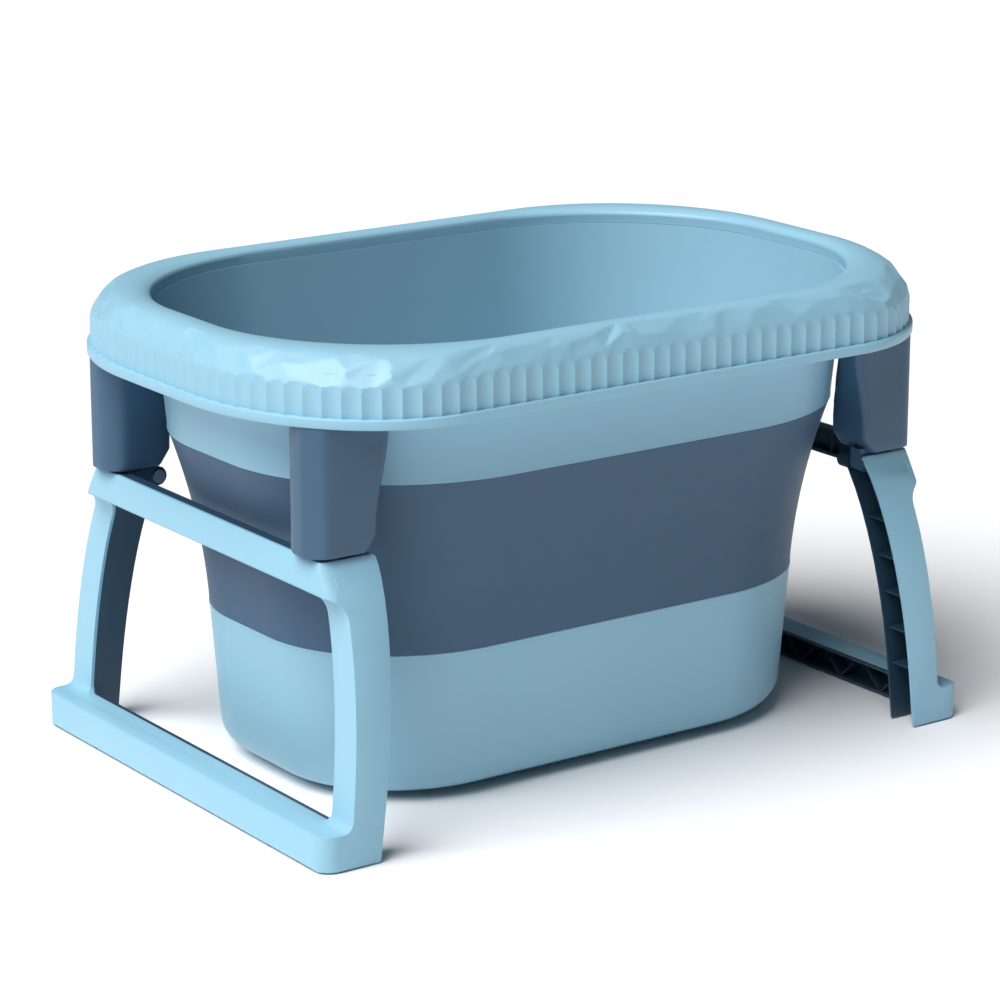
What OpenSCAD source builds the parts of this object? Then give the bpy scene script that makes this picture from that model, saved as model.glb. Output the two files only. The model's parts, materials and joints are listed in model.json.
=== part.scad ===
// Foldable baby bathtub: an oval bucket with a soft folding wall, hung in a rim frame
// that stands on two fold-in leg frames. +X runs along the tub, +Z is up, and the
// origin is on the floor under the middle of the tub.

/* [Overall] */
// Length over the rim flange
rim_len = 760; // [620:5:930]
// Width over the rim flange
rim_wid = 512; // [420:2:620]
// Height of the rim's crown above the floor
tub_h = 445; // [365:5:540]

/* [Rim] */
// How far the round end of the flange reaches along the tub
flange_end_round = 159; // [120:1:180]
// How far the round end of the flange reaches across the tub
flange_side_round = 200; // [150:1:205]
// Height of the flange's outer lip
flange_h = 9; // [7:0.5:14]
// Height of the rim cover above the flange
cover_h = 54; // [45:1:64]
// Step from the flange's edge in to the cover's wall
cover_step = 3.5; // [2:0.5:5]
// Width of the rim at the ends, from the flange's edge to the inner lip
rim_end_w = 47; // [42:1:56]
// Width of the rim at the sides, from the flange's edge to the inner lip
rim_side_w = 37.5; // [34:0.5:46]
// Wall of the rim cover
cover_wall = 3; // [2.2:0.2:4]

/* [Tub walls] */
// Wall of the upper frame, the folding wall and the bucket
wall = 3; // [2.4:0.2:4]
// How far the round end of the opening reaches along the tub
tub_end_round = 196; // [170:1:205]
// How far the round end of the opening reaches across the tub
tub_side_round = 183; // [150:1:190]
// Height from the rim's crown down to the folding wall
upper_h = 132; // [120:1:150]
// Height of the folding wall when the tub stands open
band_h = 167; // [150:1:185]
// How much the upper wall draws in at each end and side
upper_draw = 12; // [6:1:16]
// How much the folding wall draws in at each end and side
band_draw = 35; // [25:1:40]
// How far the folding wall bows in halfway down
band_bow = 6; // [0:0.5:9]
// How much the bucket draws in at each end and side
bucket_draw = 10.5; // [5:0.5:16]
// Radius round the bucket's bottom edge
bucket_edge_r = 25; // [14:1:32]
// Height of the bucket's bottom above the floor
floor_gap = 8; // [7:0.5:14]

/* [Drain] */
// Distance of the drain from the middle of the tub
drain_x = 165; // [100:5:180]
// Radius of the drain's neck
drain_r = 16; // [12:0.5:20]
// Width of the drain's flange beyond the neck
drain_flange_w = 9; // [6:0.5:12]
// Radius of the hole that the plug closes
drain_bore_r = 11; // [8:0.5:11.5]

/* [Corner posts] */
// Height of a post below the flange
post_h = 116; // [105:1:130]
// Length of a post's foot along the tub
post_len = 67; // [60:1:70]
// Width of a post's foot across the tub
post_wid = 52; // [48:1:56]
// Distance from the rim's end in to a post's outer face
post_end_inset = 38; // [36:1:44]
// Distance from the rim's side in to a post's outer face
post_side_inset = 54; // [53:1:58]
// Radius of a post's upright edges on its outer side
post_edge_r = 22; // [16:1:24]
// Radius of a post's upright edges on its inner side
post_inner_r = 7; // [5:0.5:10]
// Wall of a post
post_wall = 3; // [2.4:0.2:4]
// Radius of the screws that hold a post under the flange
post_screw_r = 2; // [1.8:0.1:2.5]

/* [Leg frames] */
// Gap between a post and the leg frame under it
leg_gap = 3; // [2.6:0.1:5]
// Distance of the leg's outer side in from the rim's side, at the foot
foot_side_inset = 8; // [4:1:14]
// How much the leg's side curves in towards the top
leg_bow = 88; // [70:1:95]
// Height where that curve begins
leg_bow_z = 50; // [46:1:60]
// Width of a leg across the tub
leg_w = 34; // [31:1:38]
// Depth of a leg along the tub, at its foot
leg_depth = 31.5; // [30:0.5:34]
// How much deeper a leg is at its top
leg_taper = 8; // [5:0.5:10]
// Slant of a leg's front, run for each unit of height
leg_slant = 0.0855; // [0.06:0.005:0.1]
// Distance from the rim's end in to the foot bar's outer face
foot_end_inset = 13; // [10:1:20]
// Depth of the foot bar along the tub
foot_bar_w = 23; // [20:1:26]
// Height of the foot bar
foot_h = 34; // [30:1:38]
// How far the top bar stands out from the legs
top_bar_out = 19; // [16:1:22]
// Height of the top bar
top_bar_h = 28; // [24:1:31]
// Depth of the top bar along the tub
top_bar_w = 18; // [15:1:22]
// Radius of the foot bar's corners, seen from above
foot_round = 18; // [10:1:22]
// Radius of the top bar's end corners, seen from above
bar_round = 14; // [8:1:16]
// Wall of the leg shell
leg_wall = 3; // [2.4:0.2:3.6]
// Wall of the ribbed liner
liner_wall = 2.2; // [1.8:0.2:3]
// Clearance between a leg shell and its liner
snug = 0.2; // [0.1:0.05:0.4]

/* [Hinges] */
// Radius of a hinge pin
pin_r = 4; // [3:0.25:5]
// Distance of a hinge pin in from the post's inner face
pin_inset = 11; // [10.5:0.5:14]
// Radial running clearance of a pin in its bores
pin_fit = 0.05; // [0.02:0.01:0.09]
// Distance of the pin below and behind the leg's top corner
knuckle_r = 9; // [8.5:0.25:10]
// Width of the tongue that hangs from a post
tongue_w = 14; // [12:0.5:15]
// Side gap between the tongue and the ears
tongue_gap = 1; // [0.6:0.1:1.5]
// Width of the ear on the window side of the leg
ear_w = 14; // [10:0.5:16]

/* [Foot pads] */
// Distance of the pads from the middle of the foot bar
pad_y = 156; // [120:2:180]
// Radius of a pad
pad_r = 9; // [7:0.5:10]
// How far a pad stands below the leg frame
pad_h = 2; // [1.7:0.1:3]

/* [Hidden] */

light_blue = [0.62, 0.80, 0.90];
dark_blue = [0.27, 0.38, 0.50];
ink_blue = [0.10, 0.18, 0.26];
rubber_black = [0.06, 0.06, 0.07];
steel_grey = [0.70, 0.71, 0.73];

// Small steps
touch = 0.1;     // how far a cut runs past a face
cover_gap = 0.3; // clearance under the cover's lip and round a screw
oval_steps = 15; // stretches round a quarter of an oval
curve_steps = 12; // stretches along a curved edge

// Levels
rim_z = tub_h;
flange_top = rim_z - cover_h;
flange_z = flange_top - flange_h;
band_top = rim_z - upper_h;
band_low = band_top - band_h;
post_z = flange_z - post_h;
leg_top = post_z - leg_gap;
pivot_z = leg_top - knuckle_r;

// Ovals: half length, half width, reach of the round ends along and across the tub
function grow(o, d) = [o[0] + d, o[1] + d, o[2] + d, o[3] + d];
function between(p, q, s) = [for (i = [0:3]) p[i] + (q[i] - p[i]) * s];
flange_oval = [rim_len / 2, rim_wid / 2, flange_end_round, flange_side_round];
lip_oval = [rim_len / 2 - rim_end_w, rim_wid / 2 - rim_side_w, tub_end_round, tub_side_round];
upper_oval = grow(lip_oval, -upper_draw);
band_oval = grow(upper_oval, -band_draw);
base_oval = grow(band_oval, -bucket_draw);

// The oval as a ring of points at height z, its rounding limited by its size
function ring(o, z) = [
    for (q = [0:3], i = [0:oval_steps])
        let (t = 90 * (q + i / oval_steps),
             sx = (q == 0 || q == 3) ? 1 : -1,
             sy = (q < 2) ? 1 : -1,
             rx = min(o[2], o[0] - 2), ry = min(o[3], o[1] - 2))
            [sx * (o[0] - rx) + rx * cos(t), sy * (o[1] - ry) + ry * sin(t), z]];

// A solid through rings: a closed hoop when looped, else capped at both ends
module loft(rings, looped = false) {
    n = len(rings[0]);
    k = len(rings);
    spans = looped ? k : k - 1;
    sides = [for (j = [0:spans - 1], i = [0:n - 1])
        let (a = j * n + i, b = j * n + (i + 1) % n,
             c = ((j + 1) % k) * n + i, d = ((j + 1) % k) * n + (i + 1) % n)
            each [[a, c, b], [b, c, d]]];
    caps = looped ? [] : [[for (i = [0:n - 1]) i], [for (i = [1:n]) k * n - i]];
    polyhedron([for (r = rings) each r], concat(sides, caps));
}

// Sections through the rim, from the flange's edge (0) to the inner lip (1)
function rim_at(s, z, inset = 0) = ring(grow(between(flange_oval, lip_oval, s), -inset), z);
// The tub's outer wall at a height, over its three stretches
function upper_at(z) = between(upper_oval, lip_oval, (z - band_top) / (rim_z - band_top));
function band_at(s) = grow(between(upper_oval, band_oval, s), -band_bow * 4 * s * (1 - s));
function bucket_at(z) = between(base_oval, band_oval, (z - floor_gap) / (band_low - floor_gap));

// ---- Rim and tub ----

// the section over the rim: share of the way in, share of the cover's height
crown = [[0, 0.5], [0.03, 0.611], [0.11, 0.741], [0.25, 0.87], [0.43, 0.963], [0.65, 1],
         [0.85, 0.982], [0.97, 0.926]];
lip_turn = 7;        // where the section turns down into the tub, below the crown
lip_drop = 15;       // how far the inner lip reaches down
lip_z = rim_z - lip_drop;
inner_corner = 0.44; // height of the cover's inside corner, as a share of its height

module rim_cover() {
    color(light_blue)
    loft(concat(
        [ring(grow(flange_oval, -cover_step), flange_top)],
        [for (p = crown) rim_at(p[0], flange_top + p[1] * cover_h, cover_step * (1 - p[0]))],
        [rim_at(1, rim_z - lip_turn), ring(lip_oval, lip_z), ring(grow(lip_oval, cover_wall), lip_z)],
        [for (i = [len(crown) - 2:-1:1]) let (p = crown[i])
            rim_at(p[0], flange_top + p[1] * cover_h - cover_wall,
                   cover_step * (1 - p[0]) + cover_wall * (1 - 2 * p[0]))],
        [ring(grow(flange_oval, -cover_step - cover_wall), flange_top + inner_corner * cover_h),
         ring(grow(flange_oval, -cover_step - cover_wall), flange_top)]), looped = true);
}

collar = 1; // how much thicker the wall is where it meets the flange

// The wall's outer face, the flange over it and the flange's turned-down lip
module upper_frame() {
    top = lip_z - cover_gap;
    color(light_blue)
    difference() {
        loft([
            ring(flange_oval, flange_z),
            ring(flange_oval, flange_top),
            ring(grow(upper_at(flange_top), wall + collar), flange_top),
            ring(grow(upper_at(top), wall), top),
            ring(upper_at(top), top),
            ring(grow(upper_at(band_top), -wall), band_top),
            ring(upper_at(band_top), band_top),
            ring(grow(upper_at(flange_top - wall), wall), flange_top - wall),
            ring(grow(flange_oval, -wall), flange_top - wall),
            ring(grow(flange_oval, -wall), flange_z)], looped = true);
        for (sx = [-1, 1], sy = [-1, 1])
            on_corner(sx, sy) post_screw_places()
                cylinder(r = post_screw_r + cover_gap, h = 4 * flange_h, center = true, $fn = 32);
    }
}

module folding_wall() {
    n = 6; // stretches down the wall
    color(dark_blue)
    loft(concat(
        [for (i = [n:-1:0]) ring(band_at(i / n), band_top - band_h * i / n)],
        [for (i = [0:n]) ring(grow(band_at(i / n), -wall), band_top - band_h * i / n)]), looped = true);
}

module lower_bucket() {
    n = 5; // stretches round the bottom edge
    r = bucket_edge_r;
    inner_r = r - wall;
    inner_z = floor_gap + wall;
    color(light_blue)
    difference() {
        loft(concat(
            [for (i = [0:n]) let (a = 90 * i / n)
                ring(grow(bucket_at(floor_gap + r), -r * (1 - sin(a))), floor_gap + r * (1 - cos(a)))],
            [ring(band_oval, band_low), ring(grow(band_oval, -wall), band_low)],
            [for (i = [n:-1:0]) let (a = 90 * i / n)
                ring(grow(bucket_at(floor_gap + r), -wall - inner_r * (1 - sin(a))),
                     inner_z + inner_r * (1 - cos(a)))]));
        translate([drain_x, 0, floor_gap - touch])
            cylinder(r = drain_r + 0.1, h = wall + 2 * touch, $fn = 64);
    }
}

// ---- Drain ----

outlet_flange_h = 2.4;
outlet_below = 5;    // how far the outlet reaches below the bucket
outlet_bevel = 2;
seat_z = floor_gap + wall + outlet_flange_h;
seal_t = 1.6;
seal_w = 4;
seal_bite = 0.5;     // how much the seal's bore is smaller than the outlet's

module drain_outlet() {
    color(light_blue)
    translate([drain_x, 0, 0])
    rotate_extrude($fn = 64)
    polygon([
        [drain_bore_r, floor_gap - outlet_below],
        [drain_r, floor_gap - outlet_below],
        [drain_r, floor_gap + wall],
        [drain_r + drain_flange_w, floor_gap + wall],
        [drain_r + drain_flange_w, floor_gap + wall + outlet_flange_h / 2],
        [drain_r + drain_flange_w - outlet_bevel, seat_z],
        [drain_bore_r, seat_z]]);
}

// A rubber ring round the plug's stem, on the outlet's flange
module drain_seal() {
    color(rubber_black)
    translate([drain_x, 0, seat_z])
    rotate_extrude($fn = 64)
    translate([drain_bore_r - seal_bite, 0]) square([seal_w, seal_t]);
}

module drain_plug() {
    grip_w = 5;
    grip_h = 9;
    stem_r = drain_bore_r - 1;
    tip = 2;
    head_z = seat_z + seal_t;
    head_t = 1.6;
    dome_h = 3;
    color(dark_blue)
    translate([drain_x, 0, 0])
    union() {
        rotate_extrude($fn = 64)
        polygon([
            [0, floor_gap - tip / 2],
            [stem_r - tip, floor_gap - tip / 2],
            [stem_r, floor_gap + tip],
            [stem_r, head_z],
            [drain_r + 1, head_z],
            [drain_r + 1, head_z + head_t],
            [drain_r - 1, head_z + dome_h],
            [0, head_z + dome_h]]);
        translate([-grip_w / 2, -drain_bore_r, head_z + head_t])
            cube([grip_w, 2 * drain_bore_r, grip_h]);
    }
}

// ---- Places shared by the posts and the leg frames, at the rear right corner ----

post_x = rim_len / 2 - post_end_inset - post_len / 2;
post_y = rim_wid / 2 - post_side_inset - post_wid / 2;
pivot_x = post_x - post_len / 2 + pin_inset;
foot_half = rim_wid / 2 - foot_side_inset;
foot_out = rim_len / 2 - foot_end_inset;
leg_low = pad_h;
bow_beyond = 22;    // how far the side's curve would run on above the leg
bow_h = leg_top - leg_bow_z + bow_beyond;
leg_in_top = pivot_x - knuckle_r;
leg_x0 = leg_in_top - 8; // where cuts through the leg frame begin
top_bar_low = leg_top - top_bar_h;
front_fillet = 10;  // between a leg and the foot bar
neck_fillet = 19;   // between a leg and the top bar
window_round = 8;   // low corners of the window
top_corner_r = 3;   // over the hinge
foot_edge_r = 4;    // along the foot bar's upper edge
foot_chamfer = 2;   // along the foot bar's lower edge
bar_edge_r = 3;     // along the top bar's lower edge
bar_lean = 5;       // how far the top bar's face leans back
rib_t = 1.6;
ear_bite = 3;       // how far an ear reaches into the leg's liner
bar_out = leg_out(top_bar_low) + top_bar_out;

// Half the spread of the legs' outer sides at height z
function leg_half(z) =
    z <= leg_bow_z ? foot_half
                   : foot_half - leg_bow * (1 - sqrt(1 - pow((z - leg_bow_z) / bow_h, 2)));
// The leg's inner and outer faces along X at height z
function leg_out(z) = leg_in_top + leg_depth + leg_taper + leg_slant * (pivot_z - z);
function leg_in(z) = leg_out(z) - leg_depth - leg_taper * (z - leg_low) / (pivot_z - leg_low);

// ---- Corner posts, modelled at the rear right corner ----

tongue_y = leg_half(leg_top) - leg_wall - 3 * tongue_gap - tongue_w;

module on_corner(sx, sy) mirror([sx < 0 ? 1 : 0, 0, 0]) mirror([0, sy < 0 ? 1 : 0, 0]) children();

// A post's outline, shrunk by d
module post_area(d) {
    x = post_len / 2 - post_edge_r;
    x_in = post_len / 2 - post_inner_r;
    y = post_wid / 2 - post_edge_r;
    y_in = post_wid / 2 - post_inner_r;
    translate([post_x, post_y]) polygon(concat(
        arc([x, y], post_edge_r - d, 0, 90, 12),
        arc([-x_in, y_in], post_inner_r - d, 90, 180, 6),
        arc([-x_in, -y_in], post_inner_r - d, 180, 270, 6),
        arc([x, -y], post_edge_r - d, 270, 360, 12)));
}
// The inside of an oval as a flat area
module oval_area(o) polygon([for (p = ring(o, 0)) [p[0], p[1]]]);

screw_boss_r = 5;
boss_h = 30;
post_screw_h = 16;   // how far a screw reaches into its boss
screw_bore_h = 26;
screw_pitch = [15, 4]; // each screw's place from the post's middle
wall_gap = 1.4;      // clearance between a post and the tub's wall
lip_gap = 0.3;       // clearance between a post and the flange's lip
module post_screw_places() {
    for (s = [-1, 1])
        translate([post_x + s * screw_pitch[0], post_y + s * screw_pitch[1], flange_top]) children();
}

module corner_post(sx, sy) {
    chamfer = 11;
    chamfer_tilt = 55;
    floor_h = 6;
    rib_h = 26;
    rib_w = 2;
    color(dark_blue)
    on_corner(sx, sy)
    difference() {
        union() {
            difference() {
                translate([0, 0, post_z]) linear_extrude(post_h + flange_h - wall) post_area(0);
                translate([0, 0, post_z + floor_h]) linear_extrude(post_h + flange_h) post_area(post_wall);
            }
            post_screw_places() translate([0, 0, -wall - boss_h])
                cylinder(r = screw_boss_r, h = boss_h, $fn = 32);
            // a rib ties the two bosses to the post's end walls
            translate([post_x, post_y, flange_top - wall - boss_h + rib_h / 2])
                rotate([0, 0, atan2(screw_pitch[1], screw_pitch[0])])
                    cube([post_len - post_wall, rib_w, rib_h], center = true);
            post_tongue();
        }
        // the tub's wall passes behind the post
        translate([0, 0, post_z - touch]) linear_extrude(post_h + flange_h)
            oval_area(grow(upper_at(flange_top), wall + wall_gap));
        // and the flange's lip in front of it
        translate([0, 0, flange_z - lip_gap]) linear_extrude(flange_h) difference() {
            square([2 * rim_len, 2 * rim_wid], center = true);
            oval_area(grow(flange_oval, -wall - lip_gap - touch));
        }
        translate([post_x - post_len / 2, 0, post_z])
            rotate([0, chamfer_tilt, 0]) cube([2 * chamfer, 4 * rim_wid, 1.2 * chamfer], center = true);
        post_screw_places() translate([0, 0, -wall - screw_bore_h])
            cylinder(r = post_screw_r, h = boss_h, $fn = 32);
        pivot_hole(tongue_y - touch, tongue_w + 2 * touch, pin_r + pin_fit);
    }
}

// The tongue under a post, round about the hinge pin
module post_tongue() {
    r = knuckle_r - 1;
    root = 3; // how far it reaches into the post
    translate([pivot_x, tongue_y + tongue_w, pivot_z])
    rotate([90, 0, 0])
    union() {
        cylinder(r = r, h = tongue_w, $fn = 64);
        translate([-r, 0, 0]) cube([2 * r, post_z - pivot_z + root, tongue_w]);
    }
}

// A round hole or pin along Y at the pivot, from y over a length
module pivot_hole(y, length, r) {
    translate([pivot_x, y + length, pivot_z]) rotate([90, 0, 0]) cylinder(r = r, h = length, $fn = 48);
}

module post_front_left() corner_post(-1, -1);
module post_front_right() corner_post(1, -1);
module post_rear_left() corner_post(-1, 1);
module post_rear_right() corner_post(1, 1);

// Two screws down through the flange into each post
module post_screws() {
    head_h = 2.4;
    color(steel_grey)
    for (sx = [-1, 1], sy = [-1, 1]) on_corner(sx, sy) post_screw_places() {
        translate([0, 0, -wall - post_screw_h])
            cylinder(r = post_screw_r, h = wall + post_screw_h, $fn = 32);
        cylinder(r1 = 2 * post_screw_r, r2 = 1.4 * post_screw_r, h = head_h, $fn = 32);
    }
}

// ---- Leg frames, modelled at the right end ----

function arc(c, r, a0, a1, n = 6) =
    [for (i = [0:n]) let (a = a0 + (a1 - a0) * i / n) [c[0] + r * cos(a), c[1] + r * sin(a)]];
// Points up the outer side of a leg, moved in by d
function leg_side(d, z0, z1) =
    [for (i = [0:curve_steps]) let (z = z0 + (z1 - z0) * i / curve_steps) [leg_half(z) - d, z]];
function mirrored(points) = [for (i = [len(points) - 1:-1:0]) [-points[i][0], points[i][1]]];

// The face of the leg frame inside its outer sides moved in by d
module frame_area(d, z0, z1) {
    side = leg_side(d, leg_bow_z, z1);
    polygon(concat([[foot_half - d, z0]], side, mirrored(side), [[d - foot_half, z0]]));
}
// The window between the legs, the foot bar and the top bar, grown by d
module window_area(d, z0, z1) {
    r = window_round;
    side = concat(arc([leg_half(z0) - leg_w + d - r, z0 + r], r, -90, 0, 4),
                  leg_side(leg_w - d, leg_bow_z + touch, z1));
    polygon(concat(side, mirrored(side)));
}
// The end view of the leg frame: foot bar, slanted leg, top bar, round knuckle
module frame_profile() {
    x_front = leg_out(foot_h + front_fillet);
    x_neck = leg_out(top_bar_low - neck_fillet);
    polygon(concat(
        [[leg_in(leg_low), leg_low], [foot_out - foot_chamfer, leg_low],
         [foot_out, leg_low + foot_chamfer]],
        arc([foot_out - foot_edge_r, foot_h - foot_edge_r], foot_edge_r, 0, 90, 3),
        arc([x_front + front_fillet, foot_h + front_fillet], front_fillet, 270, 180, 5),
        arc([x_neck + neck_fillet, top_bar_low - neck_fillet], neck_fillet, 180, 100, 6),
        arc([bar_out - bar_edge_r, top_bar_low + 2], bar_edge_r, -60, 10, 3),
        [[bar_out - bar_lean, leg_top]],
        arc([leg_in_top + top_corner_r, leg_top - top_corner_r], top_corner_r, 90, 180, 6),
        [[leg_in(pivot_z), pivot_z]]));
}
// That view moved in and down, for what lies behind a wall of thickness d
module hollow_profile(d) difference() {
    translate([-d, -d]) frame_profile();
    translate([leg_out(top_bar_low - neck_fillet) + neck_fillet, top_bar_low - neck_fillet])
        circle(neck_fillet + d, $fn = 96);
    translate([leg_out(foot_h + front_fillet) + front_fillet, foot_h + front_fillet])
        circle(front_fillet + d, $fn = 64);
}
// The leg frame from above, moved in by d, with its outer corners rounded
module plan_area(d) {
    r = foot_round - d;
    polygon(concat([[leg_x0, d - foot_half]],
                   arc([foot_out - d - r, d + r - foot_half], r, -90, 0, 8),
                   arc([foot_out - d - r, foot_half - d - r], r, 0, 90, 8),
                   [[leg_x0, foot_half - d]]));
}
// What is taken off the top bar's ends to round them, for a surface moved in by d
module bar_corners(d) {
    r = bar_round - d;
    low = neck_fillet + 1;
    lean = (leg_half(leg_top) - leg_half(top_bar_low)) / top_bar_h;
    for (s = [0, 1]) mirror([0, s, 0])
        translate([bar_out - d - r, leg_half(top_bar_low) - d - r, top_bar_low])
            multmatrix([[1, 0, 0, 0], [0, 1, lean, 0], [0, 0, 1, 0]])
                translate([0, 0, -low]) linear_extrude(top_bar_h + low + 1)
                    difference() {
                        square(r + 2 * leg_wall);
                        circle(r, $fn = 64);
                    }
}
module across() rotate([90, 0, 0]) linear_extrude(2 * rim_wid, center = true) children();
module along(x0, x1) translate([x0, 0, 0]) rotate([90, 0, 90]) linear_extrude(x1 - x0) children();

module leg_shell() {
    color(light_blue)
    difference() {
        intersection() {
            across() frame_profile();
            along(leg_x0, foot_out + 1) difference() {
                frame_area(0, 0, leg_top + touch);
                window_area(0, foot_h, top_bar_low);
            }
            linear_extrude(leg_top + 1) plan_area(0);
        }
        bar_corners(0);
        // hollow behind the front web, under the foot bar's top and inside the two sides
        difference() {
            intersection() {
                across() hollow_profile(leg_wall);
                along(leg_x0, foot_out) frame_area(leg_wall, -1, leg_top + 1);
                linear_extrude(leg_top + 1) plan_area(leg_wall);
            }
            bar_corners(leg_wall);
        }
        // open along the top, where the liner's plate shows
        translate([leg_x0, leg_wall - leg_half(leg_top), leg_top - 4 * leg_wall])
            cube([bar_out - leg_wall - bar_lean - leg_x0, 2 * (leg_half(leg_top) - leg_wall), top_bar_h]);
        for (p = liner_screw_points()) translate([0, p[0], p[1]])
            rotate([0, 90, 0]) cylinder(r = liner_screw_r + 0.05, h = leg_out(p[1]) - 1.2, $fn = 24);
    }
}

liner_screw_r = 1.35;
liner_screw_z = [70, 150];
// Where screws go through the liner into the leg shell
function liner_screw_points() =
    [for (s = [-1, 1], z = liner_screw_z) [s * (leg_half(z) - leg_w / 2), z]];

ear_y = leg_half(pivot_z) - leg_w - ear_w + ear_bite;
module liner_ear(s) {
    mirror([0, s < 0 ? 1 : 0, 0])
    translate([0, ear_y + ear_w, 0])
    rotate([90, 0, 0]) linear_extrude(ear_w)
    polygon(concat(
        arc([pivot_x, pivot_z], knuckle_r, 90, 250, 12),
        [[bar_out - top_bar_w, top_bar_low + leg_wall + snug], [bar_out - top_bar_w, leg_top]]));
}

module leg_liner() {
    inset = leg_wall + snug;
    color(ink_blue)
    difference() {
        union() {
            intersection() {
                across() hollow_profile(inset);
                across() frame_profile();
                union() {
                    // window-side walls of the two legs
                    along(leg_x0, foot_out) intersection() {
                        difference() {
                            frame_area(leg_w - liner_wall, 0, leg_top);
                            frame_area(leg_w, -1, leg_top + 1);
                        }
                        translate([-foot_half, leg_low]) square([2 * foot_half, leg_top - leg_low]);
                    }
                    leg_ribs();
                    foot_ribs();
                }
            }
            liner_back();
            top_bar_box();
            for (s = [-1, 1]) liner_ear(s);
        }
        for (s = [-1, 1]) mirror([0, s < 0 ? 1 : 0, 0]) {
            pivot_hole(0, foot_half, pin_r + pin_fit);
            tongue_space();
        }
        for (p = liner_screw_points()) translate([leg_x0, p[0], p[1]])
            rotate([0, 90, 0]) cylinder(r = liner_screw_r + 0.35, h = 2 * leg_depth, $fn = 24);
        for (s = [-1, 1]) translate([foot_out - foot_bar_w / 2, s * pad_y, 0]) {
            cylinder(r = pad_stem_r + 0.1, h = foot_h - leg_wall - 1, $fn = 32);
            translate([0, 0, leg_low + liner_wall])
                cylinder(r = pad_barb_r + 0.5, h = foot_h - leg_wall - leg_low, $fn = 32);
        }
    }
}

// The room that a post's tongue takes while the leg frame swings in
module tongue_space() {
    y = tongue_y - tongue_gap;
    w = tongue_w + 2 * tongue_gap;
    r = knuckle_r - 0.3; // a little more than the tongue's own radius
    pivot_hole(y, w, r);
    translate([pivot_x - r, y, pivot_z]) cube([2 * r, w, 2 * knuckle_r]);
    translate([pivot_x - 2 * knuckle_r, y, pivot_z - r]) cube([2 * knuckle_r, w, 2 * r]);
}

// The plate behind the front web, all round the frame below the top bar
module liner_back() {
    inset = leg_wall + snug;
    intersection() {
        difference() {
            across() hollow_profile(inset);
            across() hollow_profile(inset + liner_wall);
        }
        along(leg_x0, foot_out) difference() {
            frame_area(inset, leg_low, top_bar_low + 1);
            window_area(0, foot_h, top_bar_low);
        }
        linear_extrude(leg_top) plan_area(inset);
        difference() {
            translate([0, -foot_half, 0]) cube([foot_out, 2 * foot_half, leg_top]);
            bar_corners(inset);
        }
    }
    intersection() {
        translate([foot_out - foot_bar_w, -foot_half, leg_low])
            cube([foot_bar_w, 2 * foot_half, liner_wall]);
        translate([0, 0, leg_low]) linear_extrude(liner_wall) plan_area(inset);
    }
}

// Cross ribs in the legs
module leg_ribs() {
    first = 58;
    pitch = 36;
    set_back = 5;
    for (s = [-1, 1], z = [first:pitch:pivot_z - pitch - 4]) {
        // a rib is narrower by what the leg's side leans in over its thickness
        w = leg_w - leg_wall - snug - leg_half(z) + leg_half(z + rib_t);
        mirror([0, s < 0 ? 1 : 0, 0])
            translate([leg_in(z) + set_back, leg_half(z) - leg_w, z])
                cube([leg_depth + leg_taper, w, rib_t]);
    }
}

// Zigzag ribs in the foot bar
module foot_ribs() {
    n = 14; // ribs along the bar
    pitch = 2 * (foot_half - leg_w) / n;
    run = pitch - 4;
    set_back = 2;
    rise = foot_h - leg_wall - leg_low - liner_wall - 2 * snug;
    for (i = [0:n - 1])
        let (slope = (i % 2 == 0 ? 1 : -1) * run / rise, y = leg_w - foot_half + pitch * (i + 0.5))
            translate([foot_out - foot_bar_w + set_back, y, leg_low + liner_wall])
                multmatrix([[1, 0, 0, 0], [0, 1, slope, 0], [0, 0, 1, 0]])
                    translate([0, -slope * rise / 2 - rib_t / 2, 0]) cube([foot_bar_w, rib_t, rise]);
}

// The top bar's plates and its ribs, between the legs
module top_bar_box() {
    x0 = bar_out - top_bar_w;
    x1 = bar_out - bar_lean - leg_wall - snug;
    half = leg_half(leg_top) - leg_wall - snug - liner_wall - tongue_w - 3 * tongue_gap;
    low = top_bar_low + leg_wall + snug;
    for (z = [low, leg_top - liner_wall])
        translate([x0, -half, z]) cube([x1 - x0, 2 * half, liner_wall]);
    translate([x1 - liner_wall, -half, low]) cube([liner_wall, 2 * half, leg_top - low]);
    ribs = 3; // to each side of the middle one
    for (i = [-ribs:ribs])
        translate([x0 + 1, i * half / (ribs + 0.5) - rib_t / 2, low + touch])
            cube([x1 - x0 - 2, rib_t, leg_top - low - liner_wall]);
}

// A headed pin through the ear and the post's tongue
module hinge_pin(s) {
    head_h = 2;
    head_w = 2.5; // how far the head stands out round the pin
    end = tongue_y + tongue_w + 3 * tongue_gap;
    color(steel_grey)
    mirror([0, s < 0 ? 1 : 0, 0])
    union() {
        pivot_hole(ear_y - head_h, head_h, pin_r + head_w);
        pivot_hole(ear_y - head_h / 2, end - ear_y + head_h / 2, pin_r);
    }
}

// Rubber pads with a stem and a barb above the liner's floor
pad_stem_r = 3.5;
pad_barb_r = 6;
module foot_pads() {
    floor_z = leg_low + liner_wall;
    bevel = 1;
    barb_h = 9;
    color(rubber_black)
    for (s = [-1, 1]) translate([foot_out - foot_bar_w / 2, s * pad_y, 0])
        rotate_extrude($fn = 48)
        polygon([
            [0, 0],
            [pad_r - bevel, 0],
            [pad_r, bevel],
            [pad_r, pad_h],
            [pad_stem_r, pad_h],
            [pad_stem_r, floor_z],
            [pad_barb_r, floor_z],
            [pad_stem_r + bevel, floor_z + barb_h - 2],
            [0, floor_z + barb_h]]);
}

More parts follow.
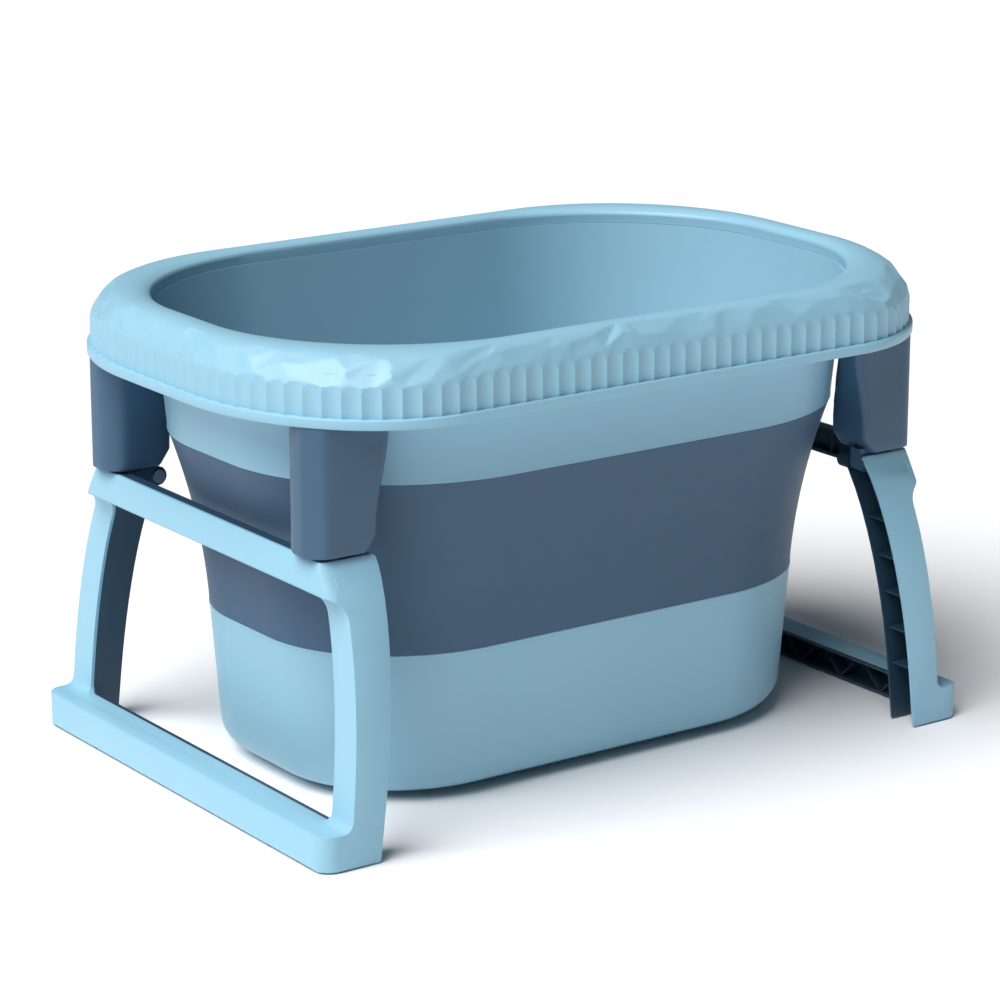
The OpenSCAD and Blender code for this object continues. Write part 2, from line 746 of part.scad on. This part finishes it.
module liner_screws() {
    depth = leg_wall + snug + liner_wall;
    head_h = 1.8;
    color(steel_grey)
    for (p = liner_screw_points()) let (x = leg_out(p[1] + depth) - depth - cover_gap)
        translate([x, p[0], p[1]]) rotate([0, 90, 0]) {
            cylinder(r = liner_screw_r, h = liner_wall + 2.4, $fn = 24);
            translate([0, 0, -head_h]) cylinder(r = 3, h = head_h, $fn = 24);
        }
}

module at_left() mirror([1, 0, 0]) children();
module left_leg_shell() at_left() leg_shell();
module left_leg_liner() at_left() leg_liner();
module left_front_pin() at_left() hinge_pin(-1);
module left_rear_pin() at_left() hinge_pin(1);
module left_foot_pads() at_left() foot_pads();
module left_liner_screws() at_left() liner_screws();
module right_leg_shell() leg_shell();
module right_leg_liner() leg_liner();
module right_front_pin() hinge_pin(-1);
module right_rear_pin() hinge_pin(1);
module right_foot_pads() foot_pads();
module right_liner_screws() liner_screws();

rim_cover();
upper_frame();
folding_wall();
lower_bucket();
drain_outlet();
drain_seal();
drain_plug();
post_front_left();
post_front_right();
post_rear_left();
post_rear_right();
post_screws();
left_leg_shell();
left_leg_liner();
left_front_pin();
left_rear_pin();
left_foot_pads();
left_liner_screws();
right_leg_shell();
right_leg_liner();
right_front_pin();
right_rear_pin();
right_foot_pads();
right_liner_screws();
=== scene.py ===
"""A foldable baby bathtub: a fluted rim over a soft-walled bucket, on two swing-in leg frames."""
import json
import math
import random

import bmesh
import bpy
import numpy as np
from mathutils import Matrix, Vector
from mathutils.geometry import delaunay_2d_cdt


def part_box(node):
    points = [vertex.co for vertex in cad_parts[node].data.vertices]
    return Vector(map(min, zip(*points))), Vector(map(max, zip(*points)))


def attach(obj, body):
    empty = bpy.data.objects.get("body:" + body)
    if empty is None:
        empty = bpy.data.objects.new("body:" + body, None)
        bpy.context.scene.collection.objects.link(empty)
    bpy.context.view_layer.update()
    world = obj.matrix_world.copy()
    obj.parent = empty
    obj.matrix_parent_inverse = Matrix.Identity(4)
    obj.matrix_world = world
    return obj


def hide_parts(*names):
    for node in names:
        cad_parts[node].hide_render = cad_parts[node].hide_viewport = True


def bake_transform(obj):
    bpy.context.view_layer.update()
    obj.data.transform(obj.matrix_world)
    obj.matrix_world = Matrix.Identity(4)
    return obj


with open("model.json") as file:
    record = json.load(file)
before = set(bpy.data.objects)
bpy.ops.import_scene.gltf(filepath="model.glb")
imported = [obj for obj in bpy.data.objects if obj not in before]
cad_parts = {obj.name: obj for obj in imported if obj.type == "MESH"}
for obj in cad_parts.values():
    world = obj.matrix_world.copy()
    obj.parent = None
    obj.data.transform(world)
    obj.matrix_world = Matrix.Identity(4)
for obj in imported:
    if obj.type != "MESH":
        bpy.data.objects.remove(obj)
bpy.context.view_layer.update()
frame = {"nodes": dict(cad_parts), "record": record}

# ---- Camera and light ----

EYE = Vector((-1.911, -2.698, 1.150))
LOOK = Vector((0.5554, 0.7863, -0.2706))
LENS = 130.0


def camera():
    data = bpy.data.cameras.new("camera")
    data.lens = LENS
    data.sensor_width = 36
    data.clip_end = 50
    eye = bpy.data.objects.new("camera", data)
    eye.location = EYE
    eye.rotation_euler = LOOK.to_track_quat("-Z", "Y").to_euler()
    bpy.context.scene.collection.objects.link(eye)
    bpy.context.scene.camera = eye


def wide_light(name, aim, strength, degrees):
    """A sun, wide enough to give soft shadows."""
    data = bpy.data.lights.new(name, "SUN")
    data.energy = strength
    data.angle = math.radians(degrees)
    lamp = bpy.data.objects.new(name, data)
    lamp.rotation_euler = Vector(aim).to_track_quat("-Z", "Y").to_euler()
    bpy.context.scene.collection.objects.link(lamp)


def studio():
    world = bpy.data.worlds.new("studio")
    world.use_nodes = True
    sky = world.node_tree.nodes["Background"]
    sky.inputs["Color"].default_value = (0.93, 0.96, 1, 1)
    sky.inputs["Strength"].default_value = 0.08
    bpy.context.scene.world = world
    wide_light("left_key", (0.57, 0.08, -0.81), 4.2, 50)
    bpy.context.scene.view_settings.view_transform = "Standard"


camera()
studio()

# ---- Materials ----


class Net:
    """One material's nodes."""

    def __init__(self, name):
        self.material = bpy.data.materials.new(name)
        self.material.use_nodes = True
        self.nodes = self.material.node_tree.nodes
        self.links = self.material.node_tree.links
        self.shader = self.nodes["Principled BSDF"]

    def put(self, socket, value):
        if isinstance(value, Wire):
            self.links.new(value.socket, socket)
        else:
            socket.default_value = value

    def node(self, kind, settings=None, out=0, **inputs):
        """A node with its settings, then its sockets, named or numbered as i0, i1 and so on."""
        made = self.nodes.new("ShaderNode" + kind)
        for key, value in (settings or {}).items():
            setattr(made, key, value)
        for key, value in inputs.items():
            numbered = key[0] == "i" and key[1:].isdigit()
            self.put(made.inputs[int(key[1:]) if numbered else key.replace("_", " ")], value)
        return Wire(self, made.outputs[out])

    def blend(self, share, a, b):
        return self.node("Mix", {"data_type": "RGBA"}, out=2, i0=share, i6=a, i7=b)

    def set(self, **inputs):
        for key, value in inputs.items():
            self.put(self.shader.inputs[key.replace("_", " ")], value)


class Wire:
    """A socket that can be added to and multiplied."""

    def __init__(self, net, socket):
        self.net, self.socket = net, socket

    def math(self, operation, a, b):
        return self.net.node("Math", {"operation": operation}, i0=a, i1=b)

    def __add__(self, other):
        return self.math("ADD", self, other)

    __radd__ = __add__

    def __mul__(self, other):
        return self.math("MULTIPLY", self, other)

    __rmul__ = __mul__


def rgb(*values):
    """A colour given as screen values from 0 to 255."""
    return tuple(((v / 255 + 0.055) / 1.055) ** 2.4 for v in values) + (1,)


def moulded(name, base, shade, rough, grain, sheen=0.0):
    """Moulded plastic: slow drift of shade from the flow, fine spark-eroded grain, soft gloss."""
    net = Net(name)
    place = net.node("TexCoord", out=3)
    drift = net.node("TexNoise", Vector=place, Scale=5.5, Detail=3.0, Roughness=0.5)
    fine = net.node("TexNoise", Vector=place, Scale=1400.0, Detail=2.0, Roughness=0.6)
    cloud = net.node("TexNoise", Vector=place, Scale=60.0, Detail=2.0, Roughness=0.5)
    colour = net.blend(drift * 0.7 + fine * 0.12, base, shade)
    bump = net.node("Bump", Strength=grain, Distance=0.0004, Height=fine * 0.8 + cloud * 0.5)
    net.set(Base_Color=colour, Roughness=fine * 0.12 + cloud * 0.1 + (rough - 0.11), Normal=bump)
    net.set(Specular_IOR_Level=0.5, Sheen_Weight=sheen)
    return net.material


def zinc(name):
    net = Net(name)
    place = net.node("TexCoord", out=3)
    turned = net.node("TexNoise", Vector=place, Scale=900.0, Detail=2.0)
    bump = net.node("Bump", Strength=0.2, Distance=0.0002, Height=turned)
    net.set(Base_Color=net.blend(turned, rgb(190, 192, 196), rgb(165, 168, 172)))
    net.set(Roughness=turned * 0.2 + 0.25, Metallic=1.0, Normal=bump)
    return net.material


light = moulded("light_blue_plastic", rgb(148, 195, 216), rgb(141, 188, 210), 0.42, 0.22)
dark = moulded("slate_blue_plastic", rgb(61, 94, 121), rgb(56, 88, 114), 0.4, 0.22)
soft = moulded("slate_blue_rubber", rgb(61, 94, 122), rgb(56, 87, 115), 0.55, 0.3, sheen=0.05)
ink = moulded("ink_blue_plastic", rgb(42, 68, 88), rgb(37, 61, 80), 0.42, 0.22)
rubber = moulded("black_rubber", rgb(26, 27, 30), rgb(20, 21, 24), 0.7, 0.5, sheen=0.1)
steel = zinc("zinc_plated_steel")
FINISH = {"light_shell": light, "dark_shell": dark, "soft_wall": soft,
          "liner": ink, "rubber": rubber, "screw_steel": steel}
SLOT = {part["node"]: part["material_slot"] for part in frame["record"]["subparts"]}


def finish_cad_nodes():
    for name, node in frame["nodes"].items():
        for place in node.material_slots:
            place.material = FINISH[SLOT[name]]


finish_cad_nodes()

# ---- Making a piece ----


def deselect():
    if bpy.context.object and bpy.context.object.mode != "OBJECT":
        bpy.ops.object.mode_set(mode="OBJECT")
    bpy.ops.object.select_all(action="DESELECT")


def fit_out(piece, name, body, *nodes):
    """Names a finished piece, gives it its CAD node's slot and finish, and lets it ride a body."""
    piece.name = name
    piece.data.name = name
    piece.data.materials.clear()
    piece.data.materials.append(FINISH[SLOT[nodes[0]]])
    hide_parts(*nodes)
    if body:
        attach(piece, body)
    return piece


def smooth(piece, degrees):
    deselect()
    piece.select_set(True)
    bpy.context.view_layer.objects.active = piece
    bpy.ops.object.shade_smooth_by_angle(angle=math.radians(degrees))


def apply(piece, kind, **settings):
    deselect()
    piece.select_set(True)
    bpy.context.view_layer.objects.active = piece
    modifier = piece.modifiers.new(kind.lower(), kind)
    for key, value in settings.items():
        setattr(modifier, key, value)
    bpy.ops.object.modifier_apply(modifier=modifier.name)


# ---- Ovals: straight sides with elliptical corners ----


class Oval:
    def __init__(self, half_x, half_y, reach_x, reach_y):
        self.half = (half_x, half_y)
        self.reach = (reach_x, reach_y)

    def grown(self, d):
        return Oval(*[v + d for v in self.half + self.reach])

    def towards(self, other, share):
        pairs = zip(self.half + self.reach, other.half + other.reach)
        return Oval(*[a + (b - a) * share for a, b in pairs])

    def ring(self, columns, z):
        """The oval's points at height z, one for each column's share of straight and round."""
        straight_x, round_x, straight_y, round_y = columns
        x = straight_x * (self.half[0] - self.reach[0]) + round_x * self.reach[0]
        y = straight_y * (self.half[1] - self.reach[1]) + round_y * self.reach[1]
        return np.stack([x, y, np.broadcast_to(z, x.shape)], axis=-1)


DENSE = 400  # trial points along each third of a quarter


def columns_round(oval, count):
    """Columns spaced evenly round an oval, starting at its +X end."""
    steps = np.linspace(0, 1, DENSE)
    turn = steps * math.pi / 2
    one, none = np.ones(DENSE), np.zeros(DENSE)
    quarter = np.concatenate([
        np.stack([one, one, steps, none]),
        np.stack([one, np.cos(turn), one, np.sin(turn)]),
        np.stack([1 - steps, none, one, one])], axis=1)
    dense = []
    for sx, sy, order in ((1, 1, 1), (-1, 1, -1), (-1, -1, 1), (1, -1, -1)):
        dense.append(quarter[:, ::order] * np.array([[sx], [sx], [sy], [sy]]))
    dense = np.concatenate(dense, axis=1)
    points = oval.ring(dense, 0.0)
    run = np.concatenate([[0], np.cumsum(np.linalg.norm(np.diff(points, axis=0), axis=1))])
    at = np.arange(count) / count * run[-1]
    return np.stack([np.interp(at, run, row) for row in dense]), run[-1]


def draw_hoop(rings, capped=False):
    """A circle extruded from ring to ring, which ends on its first ring unless it is capped."""
    deselect()
    bpy.ops.mesh.primitive_circle_add(vertices=len(rings[0]), radius=1,
                                      fill_type="NGON" if capped else "NOTHING")
    piece = bpy.context.object
    bpy.ops.object.mode_set(mode="EDIT")
    bpy.ops.mesh.select_all(action="SELECT")
    mesh = bmesh.from_edit_mesh(piece.data)
    column = mesh.verts.layers.int.new("column")
    mesh.verts.ensure_lookup_table()
    for i, point in enumerate(mesh.verts):
        point[column] = i
    for i, ring in enumerate(rings if capped else list(rings) + [rings[0]]):
        if i:
            bpy.ops.mesh.extrude_region_move()
        mesh = bmesh.from_edit_mesh(piece.data)
        column = mesh.verts.layers.int["column"]
        for point in mesh.verts:
            if point.select:
                point.co = ring[point[column]]
        bmesh.update_edit_mesh(piece.data)
    bpy.ops.mesh.select_all(action="SELECT")
    bpy.ops.mesh.remove_doubles(threshold=1e-6)
    bpy.ops.mesh.normals_make_consistent(inside=False)
    bpy.ops.object.mode_set(mode="OBJECT")
    piece.data.attributes.remove(piece.data.attributes["column"])
    return piece


# ---- Levels and ovals of the tub, from the frame ----

cover_low, cover_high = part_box("rim_cover")
frame_low, frame_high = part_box("upper_frame")
wall_low, wall_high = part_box("folding_wall")
bucket_low, bucket_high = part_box("lower_bucket")
WALL = 0.003
FLANGE_H = 0.009
COVER_STEP = frame_high.x - cover_high.x
RIM_END, RIM_SIDE = 0.047, 0.0375
UPPER_DRAW, BAND_DRAW, BUCKET_DRAW = 0.012, 0.035, 0.0105
BAND_BOW = 0.006
BASE_ROUND = 0.025
rim_z = cover_high.z
flange_z = cover_low.z
band_top, band_low = wall_high.z, wall_low.z
flange = Oval(frame_high.x, frame_high.y, 0.159, 0.200)
lip = Oval(frame_high.x - RIM_END, frame_high.y - RIM_SIDE, 0.196, 0.183)
upper = lip.grown(-UPPER_DRAW)
band = upper.grown(-BAND_DRAW)
base = band.grown(-BUCKET_DRAW)
LIP_DROP = 0.015
lip_z = rim_z - LIP_DROP
COVER_GAP = 0.0003  # between the cover's lip and the wall's top
HAIR = 0.0002       # the least step between two edges


def upper_at(z):
    return upper.towards(lip, (z - band_top) / (rim_z - band_top))


def band_at(share):
    return upper.towards(band, share).grown(-BAND_BOW * 4 * share * (1 - share))


def bucket_at(z):
    return base.towards(band, (z - bucket_low.z) / (band_low - bucket_low.z))


# ---- Rim cover ----

FLUTES = 128
PER_FLUTE = 6
FLUTE_DEPTH = 0.0022
COVER_H = cover_high.z - cover_low.z
# the section from the wall's top over the shoulder and the crown to the inner lip:
# share of the way in, share of the height, and how finely that stretch is divided
SECTION = [(0, 0.50, 4), (0.03, 0.611, 5), (0.11, 0.741, 6), (0.25, 0.870, 5), (0.43, 0.963, 3),
           (0.65, 1.0, 3), (0.85, 0.982, 3), (0.97, 0.926, 2), (1.0, 0.870, 1)]
CUT_TOP = 0.6  # share of the way in where the facets end
WALL_HEIGHTS = (0.0, 0.16, 0.32, 0.42)  # rows up the fluted wall, as shares of the height
COVER_DEPTH = 0.0045  # from the wall's face to the lining behind it
DEEPEST_CUT = 0.0045
# rows of facet corners: distance up the section, least and greatest depth, spacing, stagger
FACET_ROWS = ((0.0250, (-0.0004, 0.0001), 0.030, 0), (0.0350, (0.0005, 0.0021), 0.032, 0.0030),
              (0.0450, (0.0003, 0.0021), 0.036, 0.0035), (0.0550, (-0.0026, 0.0003), 0.044, 0.0030),
              (0.0680, (-0.0060, -0.0040), 0.060, 0))
FACET_SHIFT = 0.32  # how far a corner may stray, in spacings
OVERRUN = 0.08      # how far the net of facets runs past one turn


def section_points():
    """The section as a smooth run through its points."""
    points = np.array([p[:2] for p in SECTION])
    padded = np.vstack([2 * points[0] - points[1], points, 2 * points[-1] - points[-2]])
    run = []
    for i, (_, _, steps) in enumerate(SECTION[:-1]):
        a, b, c, d = padded[i:i + 4]
        for t in np.arange(steps) / steps:
            run.append(0.5 * (2 * b + (c - a) * t + (2 * a - 5 * b + 4 * c - d) * t * t
                              + (3 * b - a - 3 * c + d) * t ** 3))
    return run + [points[-1]]


def cut_facets(skin, columns_run, rng):
    """Cuts flat, irregular facets into the rim's shoulder: skin[row, column] are its points."""
    rows = len(skin)
    along = np.linalg.norm(np.diff(skin[:, 0], axis=0), axis=1)
    down = np.concatenate([[0], np.cumsum(along)])
    across = np.roll(skin, -1, axis=1) - np.roll(skin, 1, axis=1)
    upward = np.gradient(skin, axis=0)
    normal = np.cross(across, upward)
    normal /= np.linalg.norm(normal, axis=2, keepdims=True)
    count = skin.shape[1]
    corners, sites = [], []
    for height, (deep_min, deep_max), spacing, stagger in FACET_ROWS:
        number = round(columns_run / spacing)
        shift = rng.random()
        for i in range(number):
            u = (i + shift + rng.uniform(-FACET_SHIFT, FACET_SHIFT)) / number
            v = height + rng.uniform(-stagger, stagger)
            column = u * count
            row = np.interp(v, down, np.arange(rows))
            c0, r0 = int(column) % count, min(int(row), rows - 2)
            fc, fr = column % 1, row - r0
            c1 = (c0 + 1) % count
            spot = ((skin[r0, c0] * (1 - fc) + skin[r0, c1] * fc) * (1 - fr)
                    + (skin[r0 + 1, c0] * (1 - fc) + skin[r0 + 1, c1] * fc) * fr)
            spot = spot - normal[r0, c0] * rng.uniform(deep_min, deep_max)
            for lap in (-1, 0, 1):
                if -OVERRUN < u + lap < 1 + OVERRUN:
                    corners.append(Vector(((u + lap) * columns_run, v)))
                    sites.append(spot)
    _, _, faces, source, _, _ = delaunay_2d_cdt(corners, [], [], 0, 1e-7)
    flat_u = np.arange(count) / count * columns_run
    uu, vv = np.meshgrid(flat_u, down)
    depth = np.zeros(skin.shape[:2])
    for face in faces:
        face = [source[i][0] for i in face]
        a, b, c = [np.array(corners[i]) for i in face]
        area = (b[0] - a[0]) * (c[1] - a[1]) - (c[0] - a[0]) * (b[1] - a[1])
        if abs(area) < 1e-9:
            continue
        wb = ((uu - a[0]) * (c[1] - a[1]) - (c[0] - a[0]) * (vv - a[1])) / area
        wc = ((b[0] - a[0]) * (vv - a[1]) - (uu - a[0]) * (b[1] - a[1])) / area
        inside = (wb >= -1e-9) & (wc >= -1e-9) & (wb + wc <= 1 + 1e-9)
        if not inside.any():
            continue
        p, q, r = [sites[i] for i in face]
        share_q, share_r = wb[inside][:, None], wc[inside][:, None]
        flat = p * (1 - share_q - share_r) + q * share_q + r * share_r
        depth[inside] = np.clip(((skin[inside] - flat) * normal[inside]).sum(axis=1),
                                0, DEEPEST_CUT)
    return skin - normal * depth[:, :, None]


def carve_flutes(skin):
    """Carves upright hollows into the rim's wall. Their tops run out where the shoulder leans away."""
    count = skin.shape[1]
    foot = skin[0]
    tangent = np.roll(foot, -1, axis=0) - np.roll(foot, 1, axis=0)
    outward = np.stack([tangent[:, 1], -tangent[:, 0], np.zeros(count)], axis=1)
    outward /= np.linalg.norm(outward, axis=1, keepdims=True)
    inset = np.einsum("rcx,cx->rc", foot[None] - skin, outward)
    across = (np.arange(count) % PER_FLUTE) / PER_FLUTE * 2 - 1
    hollow = FLUTE_DEPTH * (1 - across ** 2)
    return skin - outward[None] * (np.maximum(inset, hollow) - inset)[:, :, None]


def rim_cover():
    columns, run = columns_round(flange.grown(-COVER_STEP), FLUTES * PER_FLUTE)
    skin = []
    for height in WALL_HEIGHTS:
        skin.append(flange.grown(-COVER_STEP).ring(columns, flange_z + height * COVER_H))
    for s, height in section_points():
        oval = flange.towards(lip, s).grown(-COVER_STEP * (1 - s))
        skin.append(oval.ring(columns, flange_z + height * COVER_H))
    skin = np.array(skin)
    shaped = sum(1 for s, _ in section_points() if s < CUT_TOP) + len(WALL_HEIGHTS)
    cut = cut_facets(skin[:shaped + 1], run, random.Random(7))
    cut[-1] = skin[shaped]
    skin[:shaped + 1] = carve_flutes(cut)
    lining = [lip.ring(columns, lip_z + HAIR), lip.grown(HAIR).ring(columns, lip_z),
              lip.grown(WALL).ring(columns, lip_z)]
    for s, height, _ in SECTION[-2:1:-1]:
        oval = flange.towards(lip, s).grown(-COVER_STEP * (1 - s) - WALL * (1 - 2 * s))
        lining.append(oval.ring(columns, flange_z + height * COVER_H - WALL))
    for height in (0.44, 0):
        lining.append(flange.grown(-COVER_STEP - COVER_DEPTH).ring(columns, flange_z + height * COVER_H))
    piece = draw_hoop(list(skin) + lining)
    smooth(piece, 14)
    return fit_out(piece, "rim_cover", "root", "rim_cover")


# ---- Tub ----


def rounded_edge(oval, z, inset, drop, steps=3):
    """Rings round an edge, from the side up or down to the face: drop is signed."""
    rings = []
    for i in range(steps + 1):
        a = math.pi / 2 * i / steps
        rings.append((oval.grown(-inset * (1 - math.cos(a))), z - drop * (1 - math.sin(a))))
    return rings


def upper_frame():
    columns, _ = columns_round(flange, 320)
    top = lip_z - COVER_GAP
    lip_low = flange_z - FLANGE_H
    edge = 0.0012
    sections = [(flange.grown(-WALL), lip_low + 0.0004), (flange.grown(-WALL + 0.0004), lip_low),
                (flange.grown(-edge), lip_low), (flange.grown(-edge / 3), lip_low + edge / 3),
                (flange, lip_low + edge)]
    sections += rounded_edge(flange, flange_z, edge, edge)
    sections += [
        (upper_at(flange_z).grown(WALL + 0.001), flange_z),
        (upper_at(top).grown(WALL), top),
        (upper_at(top), top),
        (upper_at(band_top).grown(-WALL), band_top),
        (upper_at(band_top).grown(-0.0008), band_top),
        (upper_at(band_top).grown(0.0006), band_top + 0.0006),
        (upper_at(band_top).grown(0.0006), band_top + 0.0025),
        (upper_at(band_top + 0.0045), band_top + 0.0045),
        (upper_at(flange_z - WALL).grown(WALL - 0.004), flange_z - WALL - 0.014),
        (upper_at(flange_z - WALL).grown(WALL), flange_z - WALL - 0.004),
        (upper_at(flange_z - WALL).grown(WALL + 0.004), flange_z - WALL),
        (flange.grown(-WALL), flange_z - WALL)]
    piece = draw_hoop([oval.ring(columns, z) for oval, z in sections])
    smooth(piece, 35)
    return fit_out(piece, "upper_frame", "root", "upper_frame")


def folding_wall():
    columns, _ = columns_round(upper, 256)
    rows = 44
    shares = np.linspace(0, 1, rows)
    height = band_top - band_low
    outer = [band_at(s).ring(columns, band_top - height * s) for s in shares]
    inner = [band_at(s).grown(-WALL).ring(columns, band_top - height * s) for s in shares[::-1]]
    piece = draw_hoop(outer + inner)
    smooth(piece, 35)
    fit_out(piece, "folding_wall", None, "folding_wall")
    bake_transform(piece)
    return piece


DRAIN_HOLE = 0.0161
DRAIN_CUT = 0.04  # length of the cutter through the bottom


def lower_bucket():
    columns, _ = columns_round(band, 256)
    steps = 10
    z0 = bucket_low.z
    rings = []
    for i in range(steps + 1):
        a = math.pi / 2 * i / steps
        oval = bucket_at(z0 + BASE_ROUND).grown(-BASE_ROUND * (1 - math.sin(a)))
        rings.append(oval.ring(columns, z0 + BASE_ROUND * (1 - math.cos(a))))
    for oval, z in ((band.grown(-0.0002), band_low - 0.003), (band.grown(0.0005), band_low - 0.0022),
                    (band.grown(0.0005), band_low - 0.0005), (band.grown(-0.0002), band_low)):
        rings.append(oval.ring(columns, z))
    rings.append(band.grown(-WALL).ring(columns, band_low))
    inner_round = BASE_ROUND - WALL
    for i in range(steps, -1, -1):
        a = math.pi / 2 * i / steps
        oval = bucket_at(z0 + BASE_ROUND).grown(-WALL - inner_round * (1 - math.sin(a)))
        rings.append(oval.ring(columns, z0 + WALL + inner_round * (1 - math.cos(a))))
    piece = draw_hoop(rings, capped=True)
    drain_low, drain_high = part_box("drain_outlet")
    centre = (drain_low + drain_high) / 2
    deselect()
    bpy.ops.mesh.primitive_cylinder_add(vertices=64, radius=DRAIN_HOLE, depth=DRAIN_CUT,
                                        location=(centre.x, centre.y, z0))
    hole = bpy.context.object
    apply(piece, "BOOLEAN", object=hole, operation="DIFFERENCE", solver="EXACT")
    bpy.data.objects.remove(hole)
    smooth(piece, 35)
    return fit_out(piece, "lower_bucket", "bucket", "lower_bucket")


# ---- Corner posts ----

POST_ROUND = 0.022
POST_INNER_ROUND = 0.007
POST_FLARE = 0.014
POST_CHAMFER = (0.011, 0.015)  # how far in and how far up
FLARE_FROM, FLARE_RUN = 0.02, 0.09  # the flare's start above the foot, and its height
POST_STEPS = (0.006, 0.010, 0.015, 0.03, 0.045, 0.06, 0.07, 0.08, 0.09, 0.1, 0.11)
LEG_GAP = 0.003
LIP_GAP = 0.0004
FLANGE_GAP = 0.0015
TUB_GAP = 0.0014
TONGUE_R, TONGUE_W = 0.008, 0.014
TONGUE_ROOT = 0.003
PIN_BEYOND = 0.003  # how far a pin runs past the tongue


def eased(t):
    t = min(max(t, 0), 1)
    return t * t * (3 - 2 * t)


def held_inside(ring, oval):
    """Brings the points of a ring that lie beyond an oval's corner back onto it."""
    middle = np.array(oval.half) - np.array(oval.reach)
    out = (ring[:, :2] - middle) / np.array(oval.reach)
    far = np.maximum(np.linalg.norm(np.clip(out, 0, None), axis=1), 1)
    ring[:, :2] = middle + np.where(out > 0, out / far[:, None], out) * np.array(oval.reach)
    return ring


def corner_post(name, sx, sy):
    low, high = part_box(name)
    _, leg_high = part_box("right_leg_shell")
    foot = leg_high.z + LEG_GAP
    top = flange_z - WALL - HAIR
    x_out, y_out = (high.x if sx > 0 else -low.x), (high.y if sy > 0 else -low.y)
    x_in, y_in = (low.x if sx > 0 else -high.x), (low.y if sy > 0 else -high.y)
    middle = np.array([(x_out + x_in) / 2, (y_out + y_in) / 2])
    outline = Oval((x_out - x_in) / 2, (y_out - y_in) / 2, POST_ROUND, POST_ROUND)
    inner_side = Oval(*outline.half, POST_INNER_ROUND, POST_INNER_ROUND)
    columns, _ = columns_round(outline, 72)
    rings = []
    levels = [(0.0022, 0), (0.0008, 0.0006), (0, 0.0022)]
    levels += [(0, h) for h in POST_STEPS]
    under_lip = flange_z - FLANGE_H - COVER_GAP - foot
    levels += [(0, under_lip), (0, under_lip + 0.0001), (0, top - foot)]
    for inset, height in levels:
        ring = outline.grown(-inset).ring(columns, foot + height)
        ring[columns[0] < 0] = inner_side.grown(-inset).ring(columns, foot + height)[columns[0] < 0]
        inner = np.clip(-ring[:, 0] / outline.half[0], 0, 1)
        chamfer = POST_CHAMFER[0] * max(0, 1 - height / POST_CHAMFER[1])
        flare = POST_FLARE * eased((height - FLARE_FROM) / FLARE_RUN)
        ring[:, 0] += inner ** 0.7 * (chamfer - flare) + middle[0]
        ring[:, 1] += middle[1]
        keep_off = upper_at(foot + height).grown(WALL + TUB_GAP)
        corner_x = keep_off.half[0] - keep_off.reach[0]
        corner_y = keep_off.half[1] - keep_off.reach[1]
        rise = np.clip((ring[:, 1] - corner_y) / keep_off.reach[1], 0, 1)
        wall_x = corner_x + keep_off.reach[0] * np.sqrt(1 - rise ** 2)
        ring[:, 0] = np.maximum(ring[:, 0], wall_x)
        clear = FLANGE_GAP if height <= under_lip else WALL + LIP_GAP
        ring = held_inside(ring, flange.grown(-clear))
        rings.append(ring * np.array([sx, sy, 1]))
    piece = draw_hoop(rings, capped=True)
    tongue = post_tongue(sx, sy, foot)
    deselect()
    tongue.select_set(True)
    piece.select_set(True)
    bpy.context.view_layer.objects.active = piece
    bpy.ops.object.join()
    smooth(piece, 40)
    return fit_out(piece, name, "root", name)


def post_tongue(sx, sy, foot):
    """The tongue that hangs from a post round its hinge pin."""
    end, place = ("left_" if sx < 0 else "right_"), ("front_pin" if sy < 0 else "rear_pin")
    pin_low, pin_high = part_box(end + place)
    pivot = (pin_low + pin_high) / 2
    far = (pin_low.y if sy < 0 else pin_high.y) - sy * PIN_BEYOND
    deselect()
    bpy.ops.mesh.primitive_cylinder_add(vertices=64, radius=TONGUE_R, depth=TONGUE_W,
                                        location=(pivot.x, far - sy * TONGUE_W / 2, pivot.z),
                                        rotation=(math.pi / 2, 0, 0))
    tongue = bpy.context.object
    bpy.ops.object.transform_apply(location=True, rotation=True, scale=True)
    for point in tongue.data.vertices:
        if point.co.z > pivot.z + 0.0001:
            point.co.z = foot + TONGUE_ROOT
    return tongue


# ---- Leg frames ----

EDGE_ROUND = 0.0016
SHARP = 32  # degrees from which an edge is rounded


def leg_shell(side):
    name = side + "_leg_shell"
    source = frame["nodes"][name]
    deselect()
    piece = source.copy()
    piece.data = source.data.copy()
    for key in list(piece.keys()):
        if key.startswith("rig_"):
            del piece[key]
    piece.parent = None
    bpy.context.scene.collection.objects.link(piece)
    piece.select_set(True)
    bpy.context.view_layer.objects.active = piece
    bpy.ops.object.mode_set(mode="EDIT")
    bpy.ops.mesh.select_all(action="SELECT")
    bpy.ops.mesh.remove_doubles(threshold=1e-6)
    bpy.ops.mesh.dissolve_limited(angle_limit=math.radians(0.5))
    bpy.ops.object.mode_set(mode="OBJECT")
    apply(piece, "BEVEL", width=EDGE_ROUND, segments=3, limit_method="ANGLE",
          angle_limit=math.radians(SHARP), use_clamp_overlap=True)
    smooth(piece, 35)
    return fit_out(piece, name, side + "_leg", name)


rim_cover()
upper_frame()
folding_wall()
lower_bucket()
for name, sx, sy in (("post_front_left", -1, -1), ("post_front_right", 1, -1),
                     ("post_rear_left", -1, 1), ("post_rear_right", 1, 1)):
    corner_post(name, sx, sy)
for side in ("left", "right"):
    leg_shell(side)

# ---- Floor ----


def floor():
    deselect()
    bpy.ops.mesh.primitive_plane_add(size=14, location=(0, 0, 0))
    ground = bpy.context.object
    ground.name = "floor"
    net = Net("pale_floor")
    place = net.node("TexCoord", out=3)
    mottle = net.node("TexNoise", Vector=place, Scale=3.0, Detail=3.0)
    net.set(Base_Color=net.blend(mottle, rgb(247, 248, 250), rgb(250, 251, 252)), Roughness=0.9)
    ground.data.materials.append(net.material)


floor()
